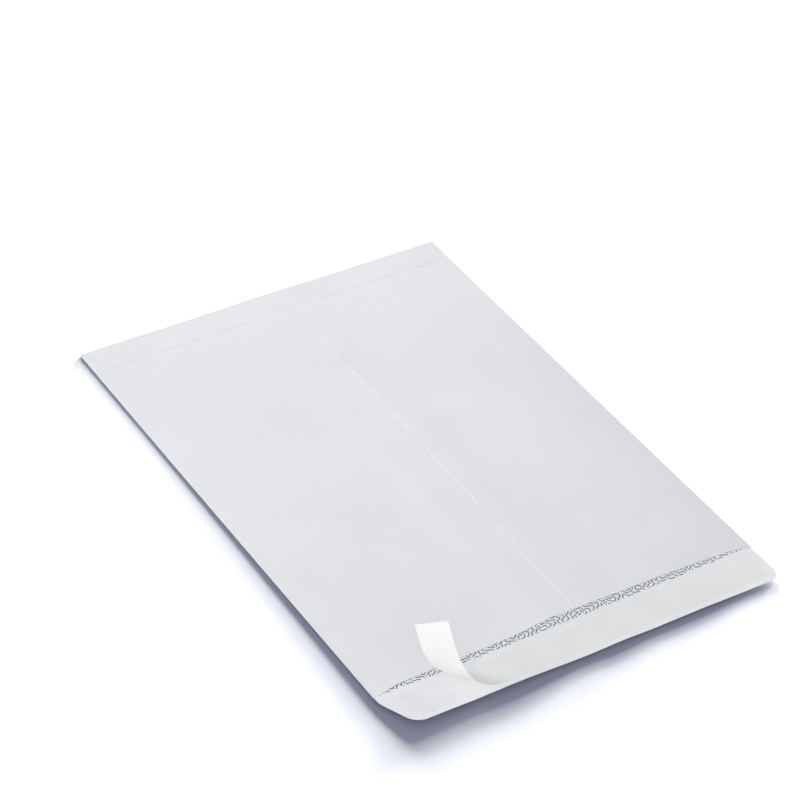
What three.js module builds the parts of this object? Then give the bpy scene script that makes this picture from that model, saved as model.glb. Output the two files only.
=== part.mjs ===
// A peel-and-seal pocket envelope of white paper. It lies open with its seam side up: the mouth and the
// closing flap point towards -Y, and the bottom flap is at +Y. Units are millimetres, and +Z is up.
import * as THREE from "three";

// Envelope size, folded, and its paper
const width = 229;
const length = 305;
const paperThickness = 0.15;
const foldInnerRadius = 0.175;

// Back panels: they overlap at the centre seam. The left one is on top, and its free edge runs a little
// askew, so its distance right of the middle is given at both ends; the right one's edge lies hidden
const seamEdgeAtMouth = 4;
const seamEdgeAtBottom = 10;
const hiddenEdge = 8;
const seamSwellWidth = 22;
const seamLift = 0.8;
const throatSetback = 2.2;
const throatCornerWidth = 15;
const cornerNotch = 0.5;

// Bottom flap, folded over the back panels and glued down
const bottomFlapDepth = 17.5;
const bottomFlapSlant = 26;

// Closing flap, open, with cut-back sides and round corners
const closingFlapDepth = 25;
const closingFlapLeftSlant = 18;
const closingFlapRightSlant = 8;
const closingFlapCorner = 6;
const closingFlapTilt = 5;

// Glue lines and the clearance that keeps neighbouring layers apart
const glueThickness = 0.1;
const layerClearance = 0.05;
const seamGlueInset = 1.5;
const bottomGlueWidth = 9;
const bottomGlueInset = 4;

// Adhesive strip on the closing flap, and the release liner over it, which overhangs the adhesive at its
// left end as a finger lift
const linerWidth = 18.5;
const linerFoldMargin = 3.2;
const linerLeftMargin = 4.5;
const linerRightMargin = 5.5;
const linerThickness = 0.1;
const fingerLift = 6;
const adhesiveThickness = 0.1;
const adhesiveSetIn = 0.8;

// The liner is peeled from its left end, past a slanting line, and curls up from there
const peeledLength = 48.5;
const peelSkew = 31;
const curlRadius = 15;
const curlStraightens = 60;

// How the empty pocket springs open at its mouth and closes in towards the bottom flap: the back panels
// rise, and the side folds leave the table a little
const pocketRise = 4.6;
const pocketFlatness = 3.5;
const sideRise = 1;
const sideRiseWidth = 45;
const closingInLength = 110;
const closedEndMargin = 7;

const foldRadius = foldInnerRadius + paperThickness / 2;
const foldX = width / 2 - paperThickness / 2 - foldRadius;
const layerStep = paperThickness + glueThickness + 2 * layerClearance;
const bottomFoldRadius = foldRadius + layerStep;
const bottomFoldY = length - paperThickness / 2 - bottomFoldRadius;
const closedY = bottomFoldY - bottomFlapDepth - closedEndMargin;

const seamHalfWidth = Math.max(hiddenEdge, seamEdgeAtMouth, seamEdgeAtBottom);

const flapTilt = THREE.MathUtils.degToRad(closingFlapTilt);
const skew = THREE.MathUtils.degToRad(peelSkew);

// Evenly spaced values from a to b, both included
function spaced(a, b, steps) {
  return Array.from({ length: steps + 1 }, (_, i) => a + ((b - a) * i) / steps);
}

// Stretches of evenly spaced values that meet at the given stations
function stretches(stations, steps) {
  const values = [stations[0]];
  steps.forEach((count, i) => values.push(...spaced(stations[i], stations[i + 1], count).slice(1)));
  return values;
}

// A smooth step from 0 to 1
function ease(value) {
  const t = THREE.MathUtils.clamp(value, 0, 1);
  return t * t * (3 - 2 * t);
}

// How open the pocket is along its length: 1 from the mouth on, 0 where the bottom flap holds it shut
function openness(y) {
  return ease((closedY - y) / closingInLength);
}

// Heights of the paper's middle surface
function frontHeight(x, y) {
  const towardsFold = (Math.abs(x) - foldX + sideRiseWidth) / sideRiseWidth;
  return paperThickness / 2 + sideRise * ease(towardsFold) * openness(y);
}

function rightPanelHeight(x, y) {
  const lens = 1 - (Math.abs(x) / foldX) ** pocketFlatness;
  const sprung = pocketRise * lens + seamLift * nearSeam(x);
  return frontHeight(x, y) + 2 * foldRadius + sprung * openness(y);
}

// 1 over the centre seam, and 0 past the swell on both sides of it
function nearSeam(x) {
  return 1 - ease((Math.abs(x) - seamHalfWidth) / seamSwellWidth);
}

// The layers over the right panel's free edge swell up by one sheet and its glue
function seamSwell(x) {
  return layerStep * nearSeam(x);
}

function leftPanelHeight(x, y) {
  return rightPanelHeight(x, y) + seamSwell(x);
}

function bottomFlapRise(x) {
  return 2 * foldRadius + seamSwell(x) + layerStep;
}

// A thin sheet: rows of points on its middle surface, joined by faces, then given a thickness
class Sheet {
  constructor() {
    this.points = [];
    this.faces = [];
  }

  addRow(points) {
    return points.map((point) => this.points.push(new THREE.Vector3(...point)) - 1);
  }

  joinRows(lower, upper) {
    for (let i = 0; i + 1 < lower.length; i += 1) {
      this.faces.push([lower[i], lower[i + 1], upper[i + 1]]);
      this.faces.push([lower[i], upper[i + 1], upper[i]]);
    }
  }

  normals() {
    const sums = this.points.map(() => new THREE.Vector3());
    for (const face of this.faces) {
      const [a, b, c] = face.map((i) => this.points[i]);
      const across = new THREE.Vector3().subVectors(b, a);
      const normal = across.cross(new THREE.Vector3().subVectors(c, a));
      face.forEach((i) => sums[i].add(normal));
    }
    return sums.map((sum) => sum.normalize());
  }

  edgeWalls() {
    const edges = new Map();
    for (const [a, b, c] of this.faces) {
      for (const [from, to] of [[a, b], [b, c], [c, a]]) {
        if (!edges.delete(`${to} ${from}`)) edges.set(`${from} ${to}`, [from, to]);
      }
    }
    const below = this.points.length;
    return [...edges.values()].flatMap(([a, b]) => [[b, a, a + below], [b, a + below, b + below]]);
  }

  solid(thickness) {
    const normals = this.normals();
    const above = this.points.map((p, i) => p.clone().addScaledVector(normals[i], thickness / 2));
    const under = this.points.map((p, i) => p.clone().addScaledVector(normals[i], -thickness / 2));
    const turned = this.faces.map(([a, b, c]) => [a, c, b].map((i) => i + this.points.length));
    const geometry = new THREE.BufferGeometry().setFromPoints([...above, ...under]);
    geometry.setIndex([...this.faces, ...turned, ...this.edgeWalls()].flat());
    geometry.computeVertexNormals();
    return geometry;
  }
}

// Stations along the pocket, from the closing flap's fold (0) to the bottom fold (1)
const alongPocket = stretches(
  [0, closedY - closingInLength, closedY, bottomFoldY],
  [2, 9, 2],
).map((y) => y / bottomFoldY);

// Stations across half the front panel, from the middle to its side fold, and across all of it
const sideBandX = foldX - sideRiseWidth;
const sideBandSteps = 8;
const swellX = seamHalfWidth + seamSwellWidth;
const acrossHalf = stretches([0, seamHalfWidth, swellX, sideBandX, foldX], [1, 4, 2, sideBandSteps]);
const acrossFront = [...acrossHalf.slice(1).map((x) => -x).toReversed(), ...acrossHalf];

// Stations across the back panels, from past the seam to their side folds, and across the lap that the
// left panel lays over the right one, from its free edge (1) to the right one's hidden edge (0)
const pastSeam = stretches([seamHalfWidth, swellX, foldX - throatCornerWidth, foldX], [4, 5, 4]);
const acrossRight = [...spaced(-hiddenEdge, seamHalfWidth, 2).slice(0, -1), ...pastSeam];
const acrossLap = spaced(1, 0, 3);

// The throat: the back panels' mouth edge is set back from the fold, less and less at its rounded ends
function throatY(x) {
  const fromFold = (foldX - Math.abs(x)) / throatCornerWidth;
  return cornerNotch + (throatSetback - cornerNotch) * ease(fromFold);
}

// A column of the folded section: where it starts at the mouth, and its place for a given y
function backColumn(x, height) {
  return { start: throatY(x), place: (y) => [x, y, height(x, y)] };
}

// A column of the lap: it follows the left panel's free edge, which runs askew
function lapColumn(part) {
  const place = (y) => {
    const edge = THREE.MathUtils.mapLinear(y, 0, bottomFoldY, seamEdgeAtMouth, seamEdgeAtBottom);
    const x = THREE.MathUtils.lerp(-hiddenEdge, edge, part);
    return [x, y, leftPanelHeight(x, y)];
  };
  return { start: throatSetback, place };
}

function frontColumn(x) {
  return { start: 0, place: (y) => [x, y, frontHeight(x, y)] };
}

function foldColumn(side, angle) {
  const x = side * (foldX + foldRadius * Math.sin(angle));
  const start = (cornerNotch * angle) / Math.PI;
  const rise = foldRadius * (1 - Math.cos(angle));
  return { start, place: (y) => [x, y, frontHeight(foldX, y) + rise] };
}

// How far the closing flap reaches to one side at a depth from its fold: a slanting side, then a round
// corner
function closingFlapReach(side, depth) {
  const slant = THREE.MathUtils.degToRad(side < 0 ? closingFlapLeftSlant : closingFlapRightSlant);
  const intoCorner = Math.max(0, depth - closingFlapDepth + closingFlapCorner);
  const round = closingFlapCorner - Math.sqrt(closingFlapCorner ** 2 - intoCorner ** 2);
  return foldX - depth * Math.tan(slant) - round;
}

function bottomFlapHalfWidth(depth) {
  return foldX - depth * Math.tan(THREE.MathUtils.degToRad(bottomFlapSlant));
}

// Draws a station in, within the side bands only, so that the outermost comes to a given half-width
function drawnIn(x, halfWidth) {
  const intoBand = Math.max(0, Math.abs(x) - sideBandX) / sideRiseWidth;
  return x - Math.sign(x) * intoBand * (foldX - halfWidth);
}

// A place on the open closing flap: x, depth from the fold, and distance above its middle surface
function onFlap(x, depth, above, foldHeight = frontHeight(x, 0)) {
  return [
    x,
    -depth * Math.cos(flapTilt) - above * Math.sin(flapTilt),
    foldHeight + depth * Math.sin(flapTilt) + above * Math.cos(flapTilt),
  ];
}

// The folded sheet: a section of columns runs from the left panel's free edge round the front panel to
// the right panel's free edge, and the two flaps grow from the front panel's ends
function envelopeSheet() {
  const foldAngles = spaced(0, Math.PI, 5).slice(1, -1);
  const leftPanel = [
    ...acrossLap.map(lapColumn),
    ...pastSeam.map((x) => backColumn(-x, leftPanelHeight)),
  ];
  const columns = [
    ...leftPanel,
    ...foldAngles.toReversed().map((angle) => foldColumn(-1, angle)),
    ...acrossFront.map(frontColumn),
    ...foldAngles.map((angle) => foldColumn(1, angle)),
    ...acrossRight.toReversed().map((x) => backColumn(x, rightPanelHeight)),
  ];
  const frontStart = leftPanel.length + foldAngles.length;
  const frontOf = (row) => row.slice(frontStart, frontStart + acrossFront.length);

  const sheet = new Sheet();
  const rows = alongPocket.map((part) =>
    sheet.addRow(columns.map(({ start, place }) => place(start + (bottomFoldY - start) * part))),
  );
  rows.slice(1).forEach((row, i) => sheet.joinRows(rows[i], row));

  const cornerDepth = closingFlapDepth - closingFlapCorner;
  const cornerRows = spaced(0, Math.PI / 2, 5).slice(1, -1);
  const flapDepths = [
    ...spaced(0, cornerDepth, 3).slice(1),
    ...cornerRows.map((angle) => cornerDepth + closingFlapCorner * Math.sin(angle)),
    closingFlapDepth,
  ];
  let inner = frontOf(rows[0]);
  for (const depth of flapDepths) {
    const across = acrossFront.map((x) => drawnIn(x, closingFlapReach(Math.sign(x), depth)));
    const outer = sheet.addRow(across.map((x) => onFlap(x, depth, 0)));
    sheet.joinRows(outer, inner);
    inner = outer;
  }

  let before = frontOf(rows.at(-1));
  for (const angle of spaced(0, Math.PI, 5).slice(1)) {
    const turn = sheet.addRow(
      acrossFront.map((x) => {
        const radius = bottomFlapRise(x) / 2;
        const rise = radius * (1 - Math.cos(angle));
        return [x, bottomFoldY + radius * Math.sin(angle), frontHeight(x, bottomFoldY) + rise];
      }),
    );
    sheet.joinRows(before, turn);
    before = turn;
  }
  for (const depth of spaced(0, bottomFlapDepth, 3).slice(1)) {
    const halfWidth = bottomFlapHalfWidth(depth);
    const y = bottomFoldY - depth;
    const row = sheet.addRow(
      acrossFront
        .map((x) => drawnIn(x, halfWidth))
        .map((x) => [x, y, frontHeight(x, y) + bottomFlapRise(x)]),
    );
    sheet.joinRows(before, row);
    before = row;
  }
  return sheet.solid(paperThickness);
}

// Glue between the overlapping back panels, from the mouth to the bottom flap
function seamGlue() {
  const aboveRight = (paperThickness + glueThickness) / 2 + layerClearance;
  const across = spaced(seamGlueInset - hiddenEdge, seamEdgeAtMouth - seamGlueInset, 2);
  const ys = alongPocket.map((part) => throatSetback + (bottomFoldY - throatSetback) * part);
  const sheet = new Sheet();
  const rows = ys.map((y) => sheet.addRow(across.map((x) => [x, y, rightPanelHeight(x, y) + aboveRight])));
  rows.slice(1).forEach((row, i) => sheet.joinRows(rows[i], row));
  return sheet.solid(glueThickness);
}

// Glue between the bottom flap and the back panels
function bottomFlapGlue() {
  const belowFlap = (paperThickness + glueThickness) / 2 + layerClearance;
  const middle = bottomFoldY - bottomFlapDepth / 2;
  const ys = spaced(middle - bottomGlueWidth / 2, middle + bottomGlueWidth / 2, 1);
  const halfWidth = bottomFlapHalfWidth(bottomFlapDepth) - bottomGlueInset;
  const across = acrossFront.map((x) => drawnIn(x, halfWidth));
  const sheet = new Sheet();
  const rows = ys.map((y) =>
    sheet.addRow(across.map((x) => [x, y, frontHeight(x, y) + bottomFlapRise(x) - belowFlap])),
  );
  sheet.joinRows(rows[0], rows[1]);
  return sheet.solid(glueThickness);
}

// The liner's two ends
const linerRight = width / 2 - linerRightMargin;
const linerLeft = linerLeftMargin - width / 2;

// The adhesive strip, a little narrower than the liner
function sealAdhesive() {
  const above = (paperThickness + adhesiveThickness) / 2 + layerClearance;
  const nearFold = linerFoldMargin + adhesiveSetIn;
  const depths = spaced(nearFold, linerFoldMargin + linerWidth - adhesiveSetIn, 1);
  const reach = { left: -linerLeft - fingerLift, right: linerRight - adhesiveSetIn };
  const across = acrossFront.map((x) => drawnIn(x, x < 0 ? reach.left : reach.right));
  const sheet = new Sheet();
  const [inner, outer] = depths.map((depth) => sheet.addRow(across.map((x) => onFlap(x, depth, above))));
  sheet.joinRows(outer, inner);
  return sheet.solid(adhesiveThickness);
}

// The curl in its own plane: how far along and how high a point lies, at a distance past the peel line
function curl(distance) {
  const steps = 48;
  const step = distance / steps;
  let along = 0;
  let up = 0;
  for (let i = 0; i < steps; i += 1) {
    const q = Math.min((i + 0.5) * step, curlStraightens);
    const angle = (q - (q * q) / (2 * curlStraightens)) / curlRadius;
    along += step * Math.cos(angle);
    up += step * Math.sin(angle);
  }
  return { along, up };
}

// The release liner: flat on the adhesive up to the peel line, then a slanting roll with a free end
function releaseLiner() {
  const above = (paperThickness + linerThickness) / 2 + adhesiveThickness + 2 * layerClearance;
  const peelX = linerLeft + peeledLength;
  const flatEnd = peelX + linerWidth * Math.tan(skew);
  const rightBand = acrossHalf.slice(-sideBandSteps - 1).map((x) => drawnIn(x, linerRight));
  const lengthwise = [...rightBand.toReversed(), ...spaced(flatEnd, linerLeft, 34)];
  const crosswise = spaced(0, linerWidth, 6);
  const place = (x, beyondInner) => {
    const past = (peelX - x) * Math.cos(skew) + beyondInner * Math.sin(skew);
    if (past <= 0) return onFlap(x, linerFoldMargin + beyondInner, above);
    const beside = (x - peelX) * Math.sin(skew) + beyondInner * Math.cos(skew);
    const { along, up } = curl(past);
    const lineX = peelX + beside * Math.sin(skew);
    const depth = linerFoldMargin + beside * Math.cos(skew) + along * Math.sin(skew);
    return onFlap(lineX - along * Math.cos(skew), depth, above + up, frontHeight(lineX, 0));
  };
  const sheet = new Sheet();
  const rows = crosswise.map((beyond) => sheet.addRow(lengthwise.map((x) => place(x, beyond))));
  rows.slice(1).forEach((row, i) => sheet.joinRows(rows[i], row));
  return sheet.solid(linerThickness);
}

// Finishes
const whitePaper = new THREE.MeshStandardMaterial({ color: "#f1f2f6", roughness: 0.85, metalness: 0 });
const gum = new THREE.MeshStandardMaterial({ color: "#e4ddc9", roughness: 0.5, metalness: 0 });
const stickyFilm = new THREE.MeshStandardMaterial({ color: "#dddee3", roughness: 0.3, metalness: 0 });
const glassine = new THREE.MeshStandardMaterial({ color: "#eff3ee", roughness: 0.45, metalness: 0 });

function piece(name, geometry, material) {
  const mesh = new THREE.Mesh(geometry, material);
  mesh.name = name;
  return mesh;
}

const envelope = new THREE.Group();
envelope.add(piece("envelope_sheet", envelopeSheet(), whitePaper));
envelope.add(piece("seam_glue", seamGlue(), gum));
envelope.add(piece("bottom_flap_glue", bottomFlapGlue(), gum));
envelope.add(piece("seal_adhesive", sealAdhesive(), stickyFilm));
envelope.add(piece("release_liner", releaseLiner(), glassine));

// The origin is at the middle of the footprint, on the table
const extent = new THREE.Box3().setFromObject(envelope);
const middle = extent.getCenter(new THREE.Vector3());
envelope.position.set(-middle.x, -middle.y, -extent.min.z);

export default envelope;
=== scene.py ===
import math

import bpy
import numpy as np
from mathutils import Matrix, Vector


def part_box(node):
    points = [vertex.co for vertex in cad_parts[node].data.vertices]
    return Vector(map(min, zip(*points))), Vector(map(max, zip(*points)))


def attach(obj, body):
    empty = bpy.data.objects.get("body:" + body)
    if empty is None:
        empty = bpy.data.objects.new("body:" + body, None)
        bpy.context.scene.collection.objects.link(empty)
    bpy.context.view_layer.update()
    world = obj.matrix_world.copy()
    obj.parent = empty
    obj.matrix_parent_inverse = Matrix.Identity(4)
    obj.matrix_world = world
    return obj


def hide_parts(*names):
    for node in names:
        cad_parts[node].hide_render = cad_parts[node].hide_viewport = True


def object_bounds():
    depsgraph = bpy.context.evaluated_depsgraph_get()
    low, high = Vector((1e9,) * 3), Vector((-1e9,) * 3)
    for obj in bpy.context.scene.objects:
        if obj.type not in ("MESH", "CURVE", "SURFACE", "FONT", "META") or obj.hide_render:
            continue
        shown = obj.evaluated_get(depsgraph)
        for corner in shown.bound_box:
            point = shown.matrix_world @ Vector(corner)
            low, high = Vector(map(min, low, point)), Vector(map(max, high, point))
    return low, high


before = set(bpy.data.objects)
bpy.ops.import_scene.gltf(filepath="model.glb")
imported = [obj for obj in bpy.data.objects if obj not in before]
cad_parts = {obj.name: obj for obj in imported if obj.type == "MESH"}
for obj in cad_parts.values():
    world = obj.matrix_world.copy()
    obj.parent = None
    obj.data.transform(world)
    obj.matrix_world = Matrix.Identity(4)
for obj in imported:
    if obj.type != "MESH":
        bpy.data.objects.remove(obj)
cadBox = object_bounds()
print("frame loaded:", ", ".join(sorted(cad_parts)))

mm = 0.001  # all the shapes below are worked out in millimetres


# The paper and its folds, as the frame has them
paper = {
    "width": 229,
    "length": 305,
    "thickness": 0.15,
    "foldInnerRadius": 0.175,
    "layerGap": 0.2,  # glue and clearance between two layers
}
seam = {
    "edgeAtMouth": 4,
    "edgeAtBottom": 10,
    "hiddenEdge": 8,
    "swellWidth": 22,
    "lift": 0.8,
    "edgeLift": 0.25,  # the lap's cut edge curls up off the panel beneath
    "edgeLiftWidth": 2,
    "throatSetback": 2.2,
    "throatCorner": 15,
    "cornerNotch": 0.5,
}
bottomFlap = {"depth": 17.5, "slant": 26, "looseSpot": -1, "looseWidth": 5, "looseLift": 0.4}
closingFlap = {
    "depth": 25,
    "leftSlant": 21,
    "rightSlant": 1,
    "straightSide": 4,  # before the sides begin to slant
    "corner": 6,
    "tilt": 5,
    # the free edge's height off a plane, at places from left to right
    "waves": [
        (-115, 0.1), (-80, 0.9), (-50, 1.1), (-4, -0.35), (15, 0),
        (35, -0.6), (62, -0.5), (101, -1.5), (115, -1.5),
    ],
}
pocket = {
    "rise": 4.6,
    "flatness": 3.5,
    "leftRise": 1.4,
    "rightRise": 0.55,
    "sideRiseWidth": 45,
    "sideRiseLength": 235,
    "closingIn": 110,
    "closedMargin": 7,
    "leftDip": 0.9,  # the left panel hangs a little lower beside its middle
    "leftDipX": -54,
    "leftDipWidth": 34,
    "leftDipReach": 60,
    "seamGap": 0.75,  # and gapes off the right panel at the mouth, past the end of the glue
    "seamGapReach": 9,
    "ripple": 0.15,
    "rippleWaves": [(1, 29, 43, 0.6), (0.6, 17, -31, 0), (0.3, 24, 11, 0)],  # share, x and y length, phase
}

thickness = paper["thickness"]
foldRadius = paper["foldInnerRadius"] + thickness / 2
foldX = paper["width"] / 2 - thickness / 2 - foldRadius
layerStep = thickness + paper["layerGap"]
bottomFoldY = paper["length"] - thickness / 2 - foldRadius - layerStep
closedY = bottomFoldY - bottomFlap["depth"] - pocket["closedMargin"]
seamHalfWidth = max(seam["hiddenEdge"], seam["edgeAtMouth"], seam["edgeAtBottom"])
flapTilt = math.radians(closingFlap["tilt"])
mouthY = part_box("envelope_sheet")[1].y - paper["length"] * mm  # the closing flap's fold, in the frame


def ease(value):
    t = np.clip(value, 0, 1)
    return t * t * (3 - 2 * t)


def bell(value):
    return np.exp(-value * value)


def openness(y):
    return ease((closedY - y) / pocket["closingIn"])


def frontHeight(x, y):
    towardsFold = (np.abs(x) - foldX + pocket["sideRiseWidth"]) / pocket["sideRiseWidth"]
    rise = np.where(np.asarray(x) < 0, pocket["leftRise"], pocket["rightRise"])
    return thickness / 2 + rise * ease(towardsFold) * np.clip(1 - y / pocket["sideRiseLength"], 0, 1) ** 1.5


def nearSeam(x):
    return 1 - ease((np.abs(x) - seamHalfWidth) / seam["swellWidth"])


def ripple(x, y):
    inside = (1 - (np.abs(x) / foldX) ** 6) * ease((bottomFoldY - 30 - y) / 60)
    waves = sum(share * np.sin(x / byX + y / byY + phase) for share, byX, byY, phase in pocket["rippleWaves"])
    return pocket["ripple"] * inside * waves * (0.35 + 0.65 * openness(y))


def rightPanelHeight(x, y):
    lens = 1 - (np.abs(x) / foldX) ** pocket["flatness"]
    sprung = pocket["rise"] * lens + seam["lift"] * nearSeam(x)
    return frontHeight(x, y) + 2 * foldRadius + sprung * openness(y) + ripple(x, y)


def leftPanelHeight(x, y):
    dip = bell((x - pocket["leftDipX"]) / pocket["leftDipWidth"]) * bell(y / pocket["leftDipReach"])
    overLap = 1 - ease((-seam["hiddenEdge"] - x) / seam["swellWidth"])
    gape = overLap * bell(y / pocket["seamGapReach"])
    swell = layerStep * nearSeam(x) + pocket["seamGap"] * gape
    return rightPanelHeight(x, y) + swell - pocket["leftDip"] * dip


def bottomFlapRise(x):
    return 2 * foldRadius + layerStep * nearSeam(x) + layerStep


def flapWave(x):
    xs, heights = np.array(closingFlap["waves"], float).T
    i = np.clip(np.searchsorted(xs, x) - 1, 0, len(xs) - 2)
    part = ease((x - xs[i]) / (xs[i + 1] - xs[i]))
    return heights[i] + (heights[i + 1] - heights[i]) * part


def onFlap(x, depth, above, lineX=None):  # lineX: where a piece that stands off the flap leaves it
    lineX = x if lineX is None else lineX
    bend = (np.clip(depth, 0, None) / closingFlap["depth"]) ** 1.6
    z = frontHeight(lineX, 0) + depth * math.sin(flapTilt) + above * math.cos(flapTilt)
    y = -depth * math.cos(flapTilt) - above * math.sin(flapTilt)
    x, y, z = np.broadcast_arrays(x, y, z + flapWave(lineX) * np.minimum(bend, 1.2))
    return np.stack([x, y, z], -1)


def flapReach(side, depth):
    slant = math.radians(closingFlap["leftSlant"] if side < 0 else closingFlap["rightSlant"])
    corner = closingFlap["corner"]
    intoCorner = max(0, depth - closingFlap["depth"] + corner)
    slanted = max(0, depth - closingFlap["straightSide"])
    return foldX - slanted * math.tan(slant) - (corner - math.sqrt(max(0, corner**2 - intoCorner**2)))


def drawnIn(x, reach):  # draws the side bands in, so that the outermost station comes to reach
    intoBand = np.clip(np.abs(x) - foldX + pocket["sideRiseWidth"], 0, None) / pocket["sideRiseWidth"]
    return x - np.sign(x) * intoBand * (foldX - reach)


def spaced(*stations, step):
    parts = []
    for a, b in zip(stations, stations[1:]):
        parts.append(np.linspace(a, b, max(2, round(abs(b - a) / step)), endpoint=False))
    return np.concatenate([*parts, [stations[-1]]])


# Meshes: rows of points joined by faces, given a thickness, and turned into a plain mesh
class Grid:
    def __init__(self):
        self.points = []
        self.faces = []

    def addRow(self, points):
        start = len(self.points)
        self.points.extend(np.asarray(points, float).tolist())
        return list(range(start, len(self.points)))

    def join(self, lower, upper):
        for i in range(len(lower) - 1):
            self.faces.append((lower[i], lower[i + 1], upper[i + 1], upper[i]))

    def mesh(self, name):
        made = bpy.data.meshes.new(name)
        places = [(x * mm, y * mm + mouthY, z * mm) for x, y, z in self.points]
        made.from_pydata(places, [], self.faces)
        made.update()
        return made


def gridOf(rows):
    grid = Grid()
    indices = [grid.addRow(row) for row in rows]
    for lower, upper in zip(indices, indices[1:]):
        grid.join(lower, upper)
    return grid


def plainCopy(piece):
    evaluated = piece.evaluated_get(bpy.context.evaluated_depsgraph_get())
    finished = bpy.data.meshes.new_from_object(evaluated)
    piece.modifiers.clear()
    piece.data = finished
    return piece


# Puts points back to the CAD model's box. The waves pass it by hundredths of a millimetre, and the top
# corner of the curled liner by half a millimetre
def keepInBox(mesh):
    places = np.empty(len(mesh.vertices) * 3)
    mesh.vertices.foreach_get("co", places)
    mesh.vertices.foreach_set("co", np.clip(places.reshape(-1, 3), *map(list, cadBox)).ravel())
    mesh.update()


def thinSheet(name, grid, sheetThickness, materials):  # materials: top, and if given, underside and rim
    piece = bpy.data.objects.new(name, grid.mesh(name))
    bpy.context.scene.collection.objects.link(piece)
    for material in materials:
        piece.data.materials.append(material)
    solidify = piece.modifiers.new("thickness", "SOLIDIFY")
    solidify.thickness = sheetThickness * mm
    solidify.offset = 0
    solidify.use_even_offset = True
    if len(materials) > 2:
        solidify.material_offset = 1
        solidify.material_offset_rim = 2
    plainCopy(piece)
    keepInBox(piece.data)
    piece.data.shade_smooth()
    piece.data.set_sharp_from_angle(angle=math.radians(40))
    return piece


def finishPiece(piece, slot, *nodes):
    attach(piece, "root")
    if nodes:
        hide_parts(*nodes)
    print(piece.name, len(piece.data.polygons), "faces")
    return piece


# Materials
def newMaterial(name):
    material = bpy.data.materials.new(name)
    material.use_nodes = True
    nodes = material.node_tree.nodes
    return material, nodes, material.node_tree.links, nodes["Principled BSDF"]


def noiseNode(nodes, links, scale, detail=2.0, roughness=0.5):
    noise = nodes.new("ShaderNodeTexNoise")
    noise.inputs["Scale"].default_value = scale
    noise.inputs["Detail"].default_value = detail
    noise.inputs["Roughness"].default_value = roughness
    coordinates = nodes.new("ShaderNodeTexCoord")
    links.new(coordinates.outputs["Object"], noise.inputs["Vector"])
    return noise.outputs["Fac"]


def between(nodes, links, factor, dark, light, low=0.3, high=0.7):
    ramp = nodes.new("ShaderNodeValToRGB")
    ramp.color_ramp.elements[0].position = low
    ramp.color_ramp.elements[0].color = (*dark, 1)
    ramp.color_ramp.elements[1].position = high
    ramp.color_ramp.elements[1].color = (*light, 1)
    links.new(factor, ramp.inputs["Fac"])
    return ramp.outputs["Color"]


def bumped(nodes, links, shader, height, strength, distance):
    bump = nodes.new("ShaderNodeBump")
    bump.inputs["Strength"].default_value = strength
    bump.inputs["Distance"].default_value = distance * mm
    links.new(height, bump.inputs["Height"])
    links.new(bump.outputs["Normal"], shader.inputs["Normal"])


def linear(red, green, blue):  # a screen colour, 0 to 255, as the linear values that the shaders take
    return tuple(((c / 255 + 0.055) / 1.055) ** 2.4 for c in (red, green, blue))


def paperMaterial(name, dark, light, roughness):
    material, nodes, links, shader = newMaterial(name)
    clouds = noiseNode(nodes, links, 24, 4.0, 0.6)
    links.new(between(nodes, links, clouds, dark, light), shader.inputs["Base Color"])
    shader.inputs["Roughness"].default_value = roughness
    shader.inputs["Specular IOR Level"].default_value = 0.25
    fibres = noiseNode(nodes, links, 1400, 6.0, 0.65)
    bumped(nodes, links, shader, fibres, 0.25, 0.03)
    return material


whitePaper = paperMaterial("whitePaper", linear(225, 226, 230), linear(228, 229, 233), 0.8)
# the inside of the sheet is painted lighter than its outside: painted light that offsets the shade inside the
# pocket
insidePaperPaintedLight = paperMaterial("insidePaperPaintedLight", linear(232, 233, 237), linear(237, 238, 242), 0.85)
# the rims are painted dark grey: painted shade standing in for the thin shadows in the gaps between the
# layers
paintedShadeCutEdge = paperMaterial("paintedShadeCutEdge", linear(118, 120, 130), linear(150, 152, 160), 0.9)
gumLine = paperMaterial("gumLine", linear(222, 214, 196), linear(232, 225, 208), 0.5)


def adhesiveMaterial():
    material, nodes, links, shader = newMaterial("pressureAdhesive")
    patches = noiseNode(nodes, links, 110, 3.0, 0.6)
    color = between(nodes, links, patches, linear(225, 226, 230), linear(231, 232, 236))
    links.new(color, shader.inputs["Base Color"])
    shader.inputs["Roughness"].default_value = 0.28
    shader.inputs["Specular IOR Level"].default_value = 0.4
    bumped(nodes, links, shader, noiseNode(nodes, links, 500, 3.0), 0.3, 0.05)
    return material


def linerMaterial():
    material, nodes, links, shader = newMaterial("siliconePaper")
    clouds = noiseNode(nodes, links, 60, 3.0, 0.55)
    color = between(nodes, links, clouds, linear(230, 232, 230), linear(235, 237, 235))
    links.new(color, shader.inputs["Base Color"])
    shader.inputs["Roughness"].default_value = 0.42
    shader.inputs["Specular IOR Level"].default_value = 0.5
    bumped(nodes, links, shader, noiseNode(nodes, links, 900, 4.0), 0.12, 0.02)
    return material


def inkMaterial():
    material, nodes, links, shader = newMaterial("tintInk")
    wear = noiseNode(nodes, links, 900, 3.0, 0.6)
    color = between(nodes, links, wear, linear(44, 60, 62), linear(96, 112, 114))
    links.new(color, shader.inputs["Base Color"])
    shader.inputs["Roughness"].default_value = 0.7
    shader.inputs["Specular IOR Level"].default_value = 0.2
    return material


# The envelope: one sheet folded round its sides, with a flap at each end
def throatY(x):
    fromFold = (foldX - np.abs(x)) / seam["throatCorner"]
    return seam["cornerNotch"] + (seam["throatSetback"] - seam["cornerNotch"]) * ease(fromFold)


def lapEdge(y):
    return seam["edgeAtMouth"] + (seam["edgeAtBottom"] - seam["edgeAtMouth"]) * y / bottomFoldY


def foldColumn(side, angle, part):
    start = seam["cornerNotch"] * angle / math.pi
    y = start + (bottomFoldY - start) * part
    x = np.full_like(y, side * (foldX + foldRadius * math.sin(angle)))
    return np.stack([x, y, frontHeight(side * foldX, y) + foldRadius * (1 - math.cos(angle))], -1)


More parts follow.
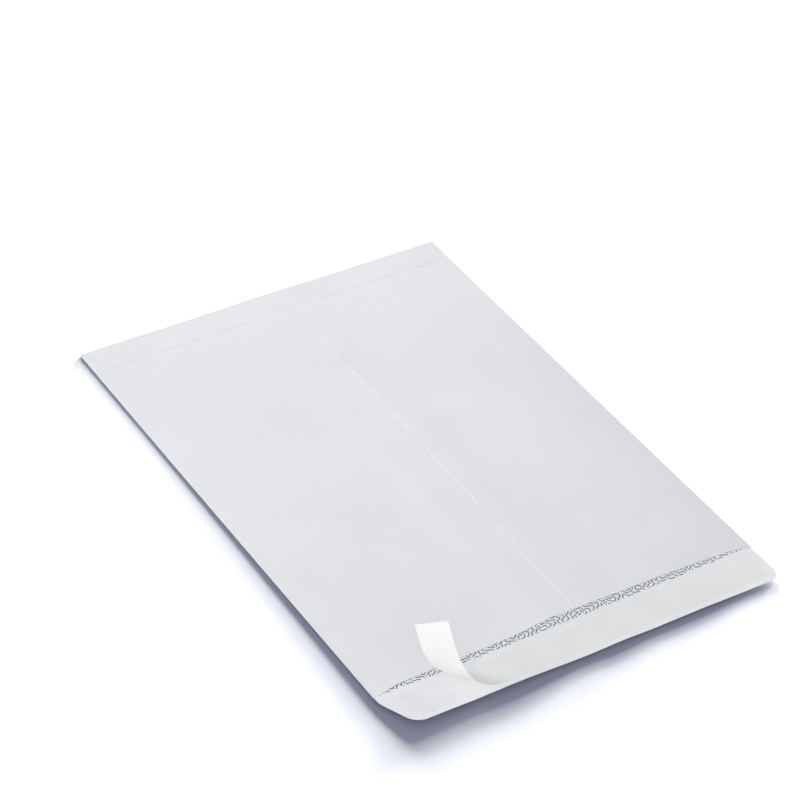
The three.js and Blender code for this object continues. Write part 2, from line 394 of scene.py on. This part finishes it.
def panelColumn(x, part, height, front=False):
    start = 0 if front else throatY(x)
    y = start + (bottomFoldY - start) * part
    return np.stack([np.full_like(y, x), y, height(x, y)], -1)


def lapColumn(share, part):
    y = seam["throatSetback"] + (bottomFoldY - seam["throatSetback"]) * part
    x = -seam["hiddenEdge"] + (lapEdge(y) + seam["hiddenEdge"]) * share
    curled = np.clip(1 - (lapEdge(y) - x) / seam["edgeLiftWidth"], 0, 1) ** 2 * ease((closedY - y) / 40)
    return np.stack([x, y, leftPanelHeight(x, y) + seam["edgeLift"] * curled], -1)


def envelopeGrid():
    # closer stations near the mouth and near the bottom fold
    stations = np.linspace(0, 0.04, 11)[:-1], np.linspace(0.04, 0.92, 90)[:-1], np.linspace(0.92, 1, 14)
    part = np.concatenate(stations)
    band = foldX - pocket["sideRiseWidth"]
    across = spaced(0, band, foldX, step=2.2)
    across = np.concatenate([-across[:0:-1], across])
    panel = spaced(seamHalfWidth, band, foldX - seam["throatCorner"], foldX, step=2.2)
    foldAngles = np.linspace(0, math.pi, 9)[1:-1]
    left = [lapColumn(share, part) for share in 1 - np.linspace(0, 1, 17) ** 1.5]
    besideLap = spaced(seam["hiddenEdge"], seamHalfWidth, step=1)[1:-1]
    left += [panelColumn(-x, part, leftPanelHeight) for x in besideLap]
    left += [panelColumn(-x, part, leftPanelHeight) for x in panel]
    left += [foldColumn(-1, angle, part) for angle in foldAngles[::-1]]
    front = [panelColumn(x, part, frontHeight, True) for x in across]
    right = [foldColumn(1, angle, part) for angle in foldAngles]
    right += [panelColumn(x, part, rightPanelHeight) for x in panel[::-1]]
    underLap = np.linspace(seamHalfWidth, -seam["hiddenEdge"], 9)[1:]
    right += [panelColumn(x, part, rightPanelHeight) for x in underLap]
    columns = np.array([*left, *front, *right])

    grid = Grid()
    rows = [grid.addRow(columns[:, i]) for i in range(len(part))]
    for lower, upper in zip(rows, rows[1:]):
        grid.join(lower, upper)

    inner = rows[0][len(left) : len(left) + len(front)]
    cornerDepth = closingFlap["depth"] - closingFlap["corner"]
    turns = np.linspace(0, math.pi / 2, 9)[1:]
    depths = [*spaced(0, cornerDepth, step=1.6)[1:], *(cornerDepth + closingFlap["corner"] * np.sin(turns))]
    for depth in depths:
        reach = np.where(across < 0, flapReach(-1, depth), flapReach(1, depth))
        outer = grid.addRow(onFlap(drawnIn(across, reach), depth, 0))
        grid.join(outer, inner)
        inner = outer

    before = rows[-1][len(left) : len(left) + len(front)]
    radius = bottomFlapRise(across) / 2
    for angle in np.linspace(0, math.pi, 11)[1:]:
        y = bottomFoldY + radius * math.sin(angle)
        z = frontHeight(across, bottomFoldY) + radius * (1 - math.cos(angle))
        row = grid.addRow(np.stack([across, y, z], -1))
        grid.join(before, row)
        before = row
    for depth in spaced(0, bottomFlap["depth"], step=1.5)[1:]:
        x = drawnIn(across, foldX - depth * math.tan(math.radians(bottomFlap["slant"])))
        besideSpot = (x - bottomFlap["looseSpot"]) / bottomFlap["looseWidth"]
        loose = bell(besideSpot) * (depth / bottomFlap["depth"]) ** 4
        z = frontHeight(x, bottomFoldY) + bottomFlapRise(x) + bottomFlap["looseLift"] * loose
        row = grid.addRow(np.stack([x, np.full_like(x, bottomFoldY - depth), z], -1))
        grid.join(before, row)
        before = row
    return grid


envelopeSheet = thinSheet("folded_sheet", envelopeGrid(), thickness, [insidePaperPaintedLight, whitePaper, paintedShadeCutEdge])
finishPiece(envelopeSheet, "white_paper", "envelope_sheet")


# Glue lines between the layers
glue = {
    "thickness": 0.1,
    "clearance": 0.05,
    "seamInset": 1.5,
    "seamStart": 12,  # inside the mouth, so that no gum shows there
    "bottomWidth": 9,
    "bottomInset": 4,
}


def seamGlueGrid():
    above = (thickness + glue["thickness"]) / 2 + glue["clearance"]
    xs = np.linspace(glue["seamInset"] - seam["hiddenEdge"], seam["edgeAtMouth"] - glue["seamInset"], 5)
    ys = spaced(seam["throatSetback"] + glue["seamStart"], bottomFoldY, step=3)
    return gridOf([np.stack([xs, np.full_like(xs, y), rightPanelHeight(xs, y) + above], -1) for y in ys])


def bottomGlueGrid():
    below = (thickness + glue["thickness"]) / 2 + glue["clearance"]
    middle = bottomFoldY - bottomFlap["depth"] / 2
    reach = foldX - bottomFlap["depth"] * math.tan(math.radians(bottomFlap["slant"])) - glue["bottomInset"]
    xs = spaced(-reach, reach, step=2.2)
    ys = np.linspace(middle - glue["bottomWidth"] / 2, middle + glue["bottomWidth"] / 2, 5)
    heights = [frontHeight(xs, y) + bottomFlapRise(xs) - below for y in ys]
    return gridOf([np.stack([xs, np.full_like(xs, y), z], -1) for y, z in zip(ys, heights)])


seamGlue = thinSheet("seam_gum", seamGlueGrid(), glue["thickness"], [gumLine])
finishPiece(seamGlue, "gum", "seam_glue")
bottomGlue = thinSheet("bottom_flap_gum", bottomGlueGrid(), glue["thickness"], [gumLine])
finishPiece(bottomGlue, "gum", "bottom_flap_glue")


# The adhesive strip on the closing flap and the liner that is peeled off its left end
liner = {
    "width": 19.4,
    "foldMargin": 3.2,
    "leftMargin": 4.5,
    "rightMargin": 5.5,
    "thickness": 0.1,
    "fingerLift": 6,
    "peeledLength": 48.5,
    "peelSkew": 31,
    "curlRadius": 15,
    "curlStraightens": 60,
    "endShifts": ((1.2, 2.5), (-1.5, 1.3)),  # x and y at the free end's inner and outer corners
    "belly": 12,  # bows the curl out to the left, most at two fifths of its length
}
adhesive = {"thickness": 0.1, "setIn": 0.8, "edgeWander": 0.12}
linerRight = paper["width"] / 2 - liner["rightMargin"]
linerLeft = liner["leftMargin"] - paper["width"] / 2


def adhesiveGrid():
    above = (thickness + adhesive["thickness"]) / 2 + glue["clearance"]
    xs = spaced(linerRight - adhesive["setIn"], linerLeft + liner["fingerLift"], step=1.5)[::-1]
    inner = liner["foldMargin"] + adhesive["setIn"]
    outer = liner["foldMargin"] + liner["width"] - adhesive["setIn"]
    wander = adhesive["edgeWander"] * (np.sin(xs / 3.1) + np.sin(xs / 1.7 + 1))
    rows = []
    for share in np.linspace(1, 0, 9):
        fromMiddle = 2 * share - 1
        depth = inner + (outer - inner) * share + wander * fromMiddle * abs(fromMiddle)
        rows.append(onFlap(xs, depth, above))
    return gridOf(rows)


def curl(distance):
    steps = 64
    step = distance / steps
    q = np.minimum((np.arange(steps)[:, None] + 0.5) * step, liner["curlStraightens"])
    angle = (q - q * q / (2 * liner["curlStraightens"])) / liner["curlRadius"]
    return (step * np.cos(angle)).sum(0), (step * np.sin(angle)).sum(0)


def linerGrid():
    above = (thickness + liner["thickness"]) / 2 + adhesive["thickness"] + 2 * glue["clearance"]
    skew = math.radians(liner["peelSkew"])
    peelX = linerLeft + liner["peeledLength"]
    flatEnd = peelX + liner["width"] * math.tan(skew)
    xs = spaced(linerRight, flatEnd, linerLeft, step=1.2)
    rows = []
    for beyond in np.linspace(0, liner["width"], 15):
        past = np.clip((peelX - xs) * math.cos(skew) + beyond * math.sin(skew), 0, None)
        beside = (xs - peelX) * math.sin(skew) + beyond * math.cos(skew)
        along, up = curl(past)
        lineX = np.where(past > 0, peelX + beside * math.sin(skew), xs)
        x = np.where(past > 0, lineX - along * math.cos(skew), xs)
        lineDepth = np.where(past > 0, beside * math.cos(skew), beyond)
        depth = liner["foldMargin"] + lineDepth + along * math.sin(skew)
        flat = onFlap(x, depth, above + up, lineX)
        bend = ((liner["foldMargin"] + np.clip(lineDepth, 0, None)) / closingFlap["depth"]) ** 1.6
        sway = (np.clip(depth, 0, None) / closingFlap["depth"]) ** 1.6
        flat[:, 2] += flapWave(lineX) * (bend - np.minimum(sway, 1.2))
        share = beyond / liner["width"]
        shift = (1 - share) * np.array(liner["endShifts"][0]) + share * np.array(liner["endShifts"][1])
        towardsEnd = past / past.max()
        flat[:, :2] += (towardsEnd**2)[:, None] * shift
        flat[:, 0] -= liner["belly"] * towardsEnd * (1 - towardsEnd) ** 1.5
        rows.append(flat)
    return gridOf(rows)


sealAdhesive = thinSheet("adhesive_strip", adhesiveGrid(), adhesive["thickness"], [adhesiveMaterial()])
finishPiece(sealAdhesive, "seal_adhesive", "seal_adhesive")
releaseLiner = thinSheet("peeled_liner", linerGrid(), liner["thickness"], [linerMaterial()])
finishPiece(releaseLiner, "liner_paper", "release_liner")


# The security tint: strokes in little blocks, turned block by block, printed all over the inside
tint = {
    "blockSize": 3.2,
    "blocksPerRepeat": 5,
    "strokes": 2,
    "strokeLength": 2.5,
    "strokeWidth": 0.6,
    "strokeSpacing": 1.6,
    "strokeBend": 0.08,  # per millimetre of its length
    "turn": 14,
    "wobble": 46,
    "seed": 7,
    "marginLeft": 0.9,
    "marginRight": 1.5,
    "reachIn": 120,
    "ceilingReachIn": 45,
    "inkHeight": 0.012,
    "sideMargin": 0.8,
    "ceilingSideMargin": 2,
    "seamMargin": 0.5,
    "spread": 2.2,  # side of the whole print, in envelope widths
    "castFrom": 0.05,  # metres off the table, from where the print is laid on its face
}


def frontPrintMargin(x):
    return tint["marginLeft"] + (tint["marginRight"] - tint["marginLeft"]) * (x / foldX + 1) / 2


def printedFace(name, height, side, reachIn, columns):  # side: 1 for an upper face, -1 for a ceiling
    inner = frontPrintMargin if side > 0 else throatY
    rows = []
    for part in np.linspace(0, 1, 25):
        y = inner(columns) + (reachIn - inner(columns)) * part
        z = height(columns, y) + side * (thickness / 2 + tint["inkHeight"])
        rows.append(np.stack([columns, y, z], -1))
    piece = bpy.data.objects.new(name, gridOf(rows).mesh(name))
    bpy.context.scene.collection.objects.link(piece)
    return piece


def tintTree():
    tree = bpy.data.node_groups.new("securityTint", "GeometryNodeTree")
    face = tree.interface
    face.new_socket("Printed Face", in_out="INPUT", socket_type="NodeSocketGeometry")
    sizes = {}
    for label, kind in (
        ("Sheet Size", "NodeSocketFloat"),
        ("Block Size", "NodeSocketFloat"),
        ("Strokes", "NodeSocketInt"),
        ("Stroke Length", "NodeSocketFloat"),
        ("Stroke Width", "NodeSocketFloat"),
        ("Stroke Spacing", "NodeSocketFloat"),
        ("Turn", "NodeSocketFloat"),
        ("Wobble", "NodeSocketFloat"),
        ("Bend", "NodeSocketFloat"),
        ("Blocks Per Repeat", "NodeSocketInt"),
        ("Facing", "NodeSocketFloat"),
        ("Seed", "NodeSocketInt"),
        ("Ink", "NodeSocketMaterial"),
    ):
        sizes[label] = face.new_socket(label, in_out="INPUT", socket_type=kind).identifier
    face.new_socket("Strokes", in_out="OUTPUT", socket_type="NodeSocketGeometry")

    nodes, links = tree.nodes, tree.links
    given = nodes.new("NodeGroupInput").outputs
    result = nodes.new("NodeGroupOutput")

    def feed(node, values):
        for socket, value in zip(node.inputs, values):
            if isinstance(value, (int, float)):
                socket.default_value = value
            else:
                links.new(value, socket)
        return node.outputs[0]

    def math2(operation, a, b=0):
        node = nodes.new("ShaderNodeMath")
        node.operation = operation
        return feed(node, (a, b))

    def vector(x=0, y=0, z=0):
        return feed(nodes.new("ShaderNodeCombineXYZ"), (x, y, z))

    # one stroke: a ribbon along X
    stroke = nodes.new("GeometryNodeMeshGrid")
    links.new(given["Stroke Length"], stroke.inputs["Size X"])
    links.new(given["Stroke Width"], stroke.inputs["Size Y"])
    stroke.inputs["Vertices X"].default_value = 6
    stroke.inputs["Vertices Y"].default_value = 2
    place = nodes.new("GeometryNodeInputPosition").outputs[0]
    parts = nodes.new("ShaderNodeSeparateXYZ")
    links.new(place, parts.inputs[0])
    bow = math2("MULTIPLY", math2("MULTIPLY", parts.outputs[0], parts.outputs[0]), given["Bend"])
    bent = nodes.new("GeometryNodeSetPosition")
    links.new(stroke.outputs["Mesh"], bent.inputs["Geometry"])
    links.new(vector(y=bow), bent.inputs["Offset"])

    # a block of strokes side by side along Y, from a line of points
    span = math2("MULTIPLY", given["Stroke Spacing"], math2("SUBTRACT", given["Strokes"], 1))
    line = nodes.new("GeometryNodeMeshLine")
    line.mode = "OFFSET"
    links.new(given["Strokes"], line.inputs["Count"])
    links.new(vector(y=math2("MULTIPLY", span, -0.5)), line.inputs["Start Location"])
    links.new(vector(y=given["Stroke Spacing"]), line.inputs["Offset"])
    block = nodes.new("GeometryNodeInstanceOnPoints")
    links.new(line.outputs["Mesh"], block.inputs["Points"])
    links.new(bent.outputs["Geometry"], block.inputs["Instance"])

    # blocks on a square net, every other one turned a quarter
    count = math2("CEIL", math2("DIVIDE", given["Sheet Size"], given["Block Size"]))
    side = math2("MULTIPLY", count, given["Block Size"])
    net = nodes.new("GeometryNodeMeshGrid")
    links.new(side, net.inputs["Size X"])
    links.new(side, net.inputs["Size Y"])
    perSide = math2("ADD", count, 1)
    links.new(perSide, net.inputs["Vertices X"])
    links.new(perSide, net.inputs["Vertices Y"])
    index = nodes.new("GeometryNodeInputIndex").outputs[0]
    column = math2("FLOOR", math2("DIVIDE", index, perSide))
    row = math2("MODULO", index, perSide)
    odd = math2("MODULO", math2("ADD", column, row), 2)
    repeat = given["Blocks Per Repeat"]
    rowPart = math2("MULTIPLY", math2("MODULO", row, repeat), repeat)
    sameInRepeat = math2("ADD", math2("MODULO", column, repeat), rowPart)
    wander = nodes.new("FunctionNodeRandomValue")
    wander.data_type = "FLOAT"
    floats = [s for s in wander.inputs if s.type == "VALUE"]
    floats[0].default_value = -1
    floats[1].default_value = 1
    links.new(sameInRepeat, wander.inputs["ID"])
    links.new(given["Seed"], wander.inputs["Seed"])
    wandered = [s for s in wander.outputs if s.type == "VALUE"][0]
    angle = math2("ADD", math2("MULTIPLY", odd, math.pi / 2), math2("MULTIPLY", wandered, given["Wobble"]))
    blocks = nodes.new("GeometryNodeInstanceOnPoints")
    links.new(net.outputs["Mesh"], blocks.inputs["Points"])
    links.new(block.outputs["Instances"], blocks.inputs["Instance"])
    turnBlock = nodes.new("FunctionNodeEulerToRotation")
    links.new(vector(z=angle), turnBlock.inputs[0])
    links.new(turnBlock.outputs[0], blocks.inputs["Rotation"])

    # the whole print turned, then laid on the printed face along Z
    turned = nodes.new("GeometryNodeTransform")
    links.new(blocks.outputs["Instances"], turned.inputs["Geometry"])
    links.new(vector(z=given["Turn"]), turned.inputs["Rotation"])
    real = nodes.new("GeometryNodeRealizeInstances")
    links.new(turned.outputs["Geometry"], real.inputs["Geometry"])
    cast = nodes.new("GeometryNodeRaycast")
    links.new(given["Printed Face"], cast.inputs["Target Geometry"])
    start = nodes.new("ShaderNodeVectorMath")
    start.operation = "ADD"
    links.new(place, start.inputs[0])
    links.new(vector(z=math2("MULTIPLY", given["Facing"], tint["castFrom"])), start.inputs[1])
    links.new(start.outputs[0], cast.inputs["Source Position"])
    links.new(vector(z=math2("MULTIPLY", given["Facing"], -1)), cast.inputs["Ray Direction"])
    laid = nodes.new("GeometryNodeSetPosition")
    links.new(cast.outputs["Hit Position"], laid.inputs["Position"])
    links.new(cast.outputs["Is Hit"], laid.inputs["Selection"])

    missed = nodes.new("FunctionNodeBooleanMath")
    missed.operation = "NOT"
    hitBefore = nodes.new("GeometryNodeCaptureAttribute")
    hitBefore.capture_items.new("BOOLEAN", "hit")
    links.new(real.outputs["Geometry"], hitBefore.inputs["Geometry"])
    links.new(cast.outputs["Is Hit"], hitBefore.inputs[1])
    links.new(hitBefore.outputs["Geometry"], laid.inputs["Geometry"])
    links.new(hitBefore.outputs[1], missed.inputs[0])
    kept = nodes.new("GeometryNodeDeleteGeometry")
    kept.domain = "POINT"
    links.new(laid.outputs["Geometry"], kept.inputs["Geometry"])
    links.new(missed.outputs[0], kept.inputs["Selection"])
    inked = nodes.new("GeometryNodeSetMaterial")
    links.new(kept.outputs["Geometry"], inked.inputs["Geometry"])
    links.new(given["Ink"], inked.inputs["Material"])
    links.new(inked.outputs["Geometry"], result.inputs["Strokes"])
    return tree, sizes


def printTint(faceObject, tree, sizes, ink, facing):
    modifier = faceObject.modifiers.new("tint", "NODES")
    modifier.node_group = tree
    values = {
        "Sheet Size": tint["spread"] * paper["width"] * mm,
        "Block Size": tint["blockSize"] * mm,
        "Strokes": tint["strokes"],
        "Stroke Length": tint["strokeLength"] * mm,
        "Stroke Width": tint["strokeWidth"] * mm,
        "Stroke Spacing": tint["strokeSpacing"] * mm,
        "Turn": math.radians(tint["turn"]),
        "Wobble": math.radians(tint["wobble"]),
        "Bend": tint["strokeBend"] / mm,
        "Blocks Per Repeat": tint["blocksPerRepeat"],
        "Facing": float(facing),
        "Seed": tint["seed"],
        "Ink": ink,
    }
    for label, value in values.items():
        modifier[sizes[label]] = value
    return plainCopy(faceObject)


tree, sizes = tintTree()
ink = inkMaterial()
hiddenX = -seam["hiddenEdge"]
ceilingX = foldX - tint["ceilingSideMargin"]
frontColumns = np.linspace(tint["sideMargin"] - foldX, foldX - tint["sideMargin"], 120)
leftColumns = np.linspace(-ceilingX, hiddenX, 70)
rightColumns = np.linspace(hiddenX + tint["seamMargin"], ceilingX, 80)
for name, height, side, reachIn, columns in (
    ("tint_front", frontHeight, 1, tint["reachIn"], frontColumns),
    ("tint_left", leftPanelHeight, -1, tint["ceilingReachIn"], leftColumns),
    ("tint_right", rightPanelHeight, -1, tint["ceilingReachIn"], rightColumns),
):
    face = printedFace(name, height, side, reachIn, columns)
    finishPiece(printTint(face, tree, sizes, ink, side), None)


# Floor, light and camera
studio = {
    "floorSize": 8,
    "floorDrop": 0.05,
    "dome": {"strength": 0.62, "angle": 150, "color": (1, 0.97, 0.79), "towards": (0.05, 0.1, 0.98)},
    # reaches under the mouth's edge and lights the curled liner
    "front": {"strength": 1.42, "angle": 50, "color": (1, 0.97, 0.86), "towards": (-0.5, -0.72, 0.45)},
    "side": {"strength": 0.62, "angle": 20, "color": (1, 0.97, 0.86), "towards": (-0.75, -0.45, 0.45)},
    # beyond the bottom flap, so that the far end is a little lighter
    "rear": {"power": 1.95, "size": 0.7, "color": (1, 0.985, 0.93), "place": (0, 420, 620)},
    # three low lamps light the floor alone and draw the shadow, as one wide lamp behind would
    "lowRight": {"strength": 9.3, "angle": 8, "color": (1, 1, 1), "towards": (0.866, 0.5, 0.079)},
    "lowBack": {"strength": 8.8, "angle": 11, "color": (1, 1, 1), "towards": (0.42, 0.91, 0.132)},
    "highRight": {"strength": 6.4, "angle": 16, "color": (1, 1, 1), "towards": (0.8, 0.6, 0.194)},
    "fillColor": (0.68, 0.73, 1.0),
    "fillStrength": 0.32,
}


def makeFloor():
    size = studio["floorSize"] / 2
    z = -studio["floorDrop"] * mm
    mesh = bpy.data.meshes.new("floor")
    corners = [(-size, -size, z), (size, -size, z), (size, size, z), (-size, size, z)]
    mesh.from_pydata(corners, [], [(0, 1, 2, 3)])
    floor = bpy.data.objects.new("floor", mesh)
    bpy.context.scene.collection.objects.link(floor)
    material, nodes, links, shader = newMaterial("studioFloor")
    shader.inputs["Base Color"].default_value = (0.9, 0.9, 0.9, 1)
    shader.inputs["Roughness"].default_value = 1
    shader.inputs["Specular IOR Level"].default_value = 0
    mesh.materials.append(material)
    return floor


def linkedTo(name, pieces):
    collection = bpy.data.collections.new(name)
    for piece in pieces:
        collection.objects.link(piece)
    return collection


def addSun(name, values, middle, lit, casting):
    lamp = bpy.data.lights.new(name, "SUN")
    lamp.energy = values["strength"]
    lamp.color = values["color"]
    lamp.angle = math.radians(values["angle"])
    towards = Vector(values["towards"]).normalized()
    lampObject = bpy.data.objects.new(name, lamp)
    lampObject.location = middle + towards
    lampObject.rotation_euler = towards.to_track_quat("Z", "Y").to_euler()
    bpy.context.scene.collection.objects.link(lampObject)
    lampObject.light_linking.receiver_collection = lit
    lampObject.light_linking.blocker_collection = casting


def makeLight(floor):
    pieces = [o for o in bpy.context.scene.objects if o.type == "MESH" and o != floor]
    lit = linkedTo("lit pieces", pieces)
    litFloor = linkedTo("lit floor", [floor])
    # the liner throws no shadow from any lamp
    casting = linkedTo("casting pieces", [o for o in pieces if o != releaseLiner])
    middle = Vector((0, mouthY + paper["length"] / 2 * mm, 0))
    addSun("dome", studio["dome"], middle, lit, casting)
    addSun("side", studio["side"], middle, lit, casting)
    # from the front and rear lamps the object throws no shadow on itself
    addSun("front", studio["front"], middle, lit, litFloor)
    for name in ("lowRight", "lowBack", "highRight"):
        addSun(name, studio[name], middle, litFloor, casting)

    rear = bpy.data.lights.new("rear", "AREA")
    rear.energy = studio["rear"]["power"]
    rear.color = studio["rear"]["color"]
    rear.size = studio["rear"]["size"]
    rearObject = bpy.data.objects.new("rear", rear)
    x, y, z = studio["rear"]["place"]
    rearObject.location = (x * mm, y * mm + mouthY, z * mm)
    rearObject.rotation_euler = (rearObject.location - middle).to_track_quat("Z", "Y").to_euler()
    bpy.context.scene.collection.objects.link(rearObject)
    rearObject.light_linking.receiver_collection = lit
    rearObject.light_linking.blocker_collection = litFloor

    world = bpy.data.worlds.new("studio")
    world.use_nodes = True
    nodes, links = world.node_tree.nodes, world.node_tree.links
    fill = nodes["Background"]
    fill.inputs["Color"].default_value = (*studio["fillColor"], 1)
    fill.inputs["Strength"].default_value = studio["fillStrength"]
    white = nodes.new("ShaderNodeBackground")
    white.inputs["Color"].default_value = (1, 1, 1, 1)
    rays = nodes.new("ShaderNodeLightPath")
    mix = nodes.new("ShaderNodeMixShader")
    links.new(rays.outputs["Is Camera Ray"], mix.inputs[0])
    links.new(fill.outputs[0], mix.inputs[1])
    links.new(white.outputs[0], mix.inputs[2])
    links.new(mix.outputs[0], nodes["World Output"].inputs["Surface"])
    bpy.context.scene.world = world


view = {
    "azimuth": -34.93,
    "elevation": 38.63,
    "roll": 4.27,
    "imageWidth": 800,  # in pixels, as the focal length is
    "focalPixels": 2862,
    "distance": 1551,
    "target": (19.8, 189.5),
}


def makeCamera():
    azimuth, elevation, roll = (math.radians(view[k]) for k in ("azimuth", "elevation", "roll"))
    level = math.cos(elevation)
    back = Vector((math.sin(azimuth) * level, -math.cos(azimuth) * level, math.sin(elevation)))
    right = Vector((math.cos(azimuth), math.sin(azimuth), 0))
    up = back.cross(right)
    tiltedRight = math.cos(roll) * right + math.sin(roll) * up
    tiltedUp = math.cos(roll) * up - math.sin(roll) * right
    x, y = view["target"]
    target = Vector((x * mm, y * mm + mouthY, 0))
    data = bpy.data.cameras.new("camera")
    data.sensor_width = 36
    data.lens = view["focalPixels"] / view["imageWidth"] * data.sensor_width
    camera = bpy.data.objects.new("camera", data)
    turned = Matrix((tiltedRight, tiltedUp, back)).transposed().to_4x4()
    camera.matrix_world = Matrix.Translation(target + back * view["distance"] * mm) @ turned
    bpy.context.scene.collection.objects.link(camera)
    bpy.context.scene.camera = camera


makeLight(makeFloor())
makeCamera()
bpy.context.scene.view_settings.view_transform = "Standard"
print("floor, light and camera made")
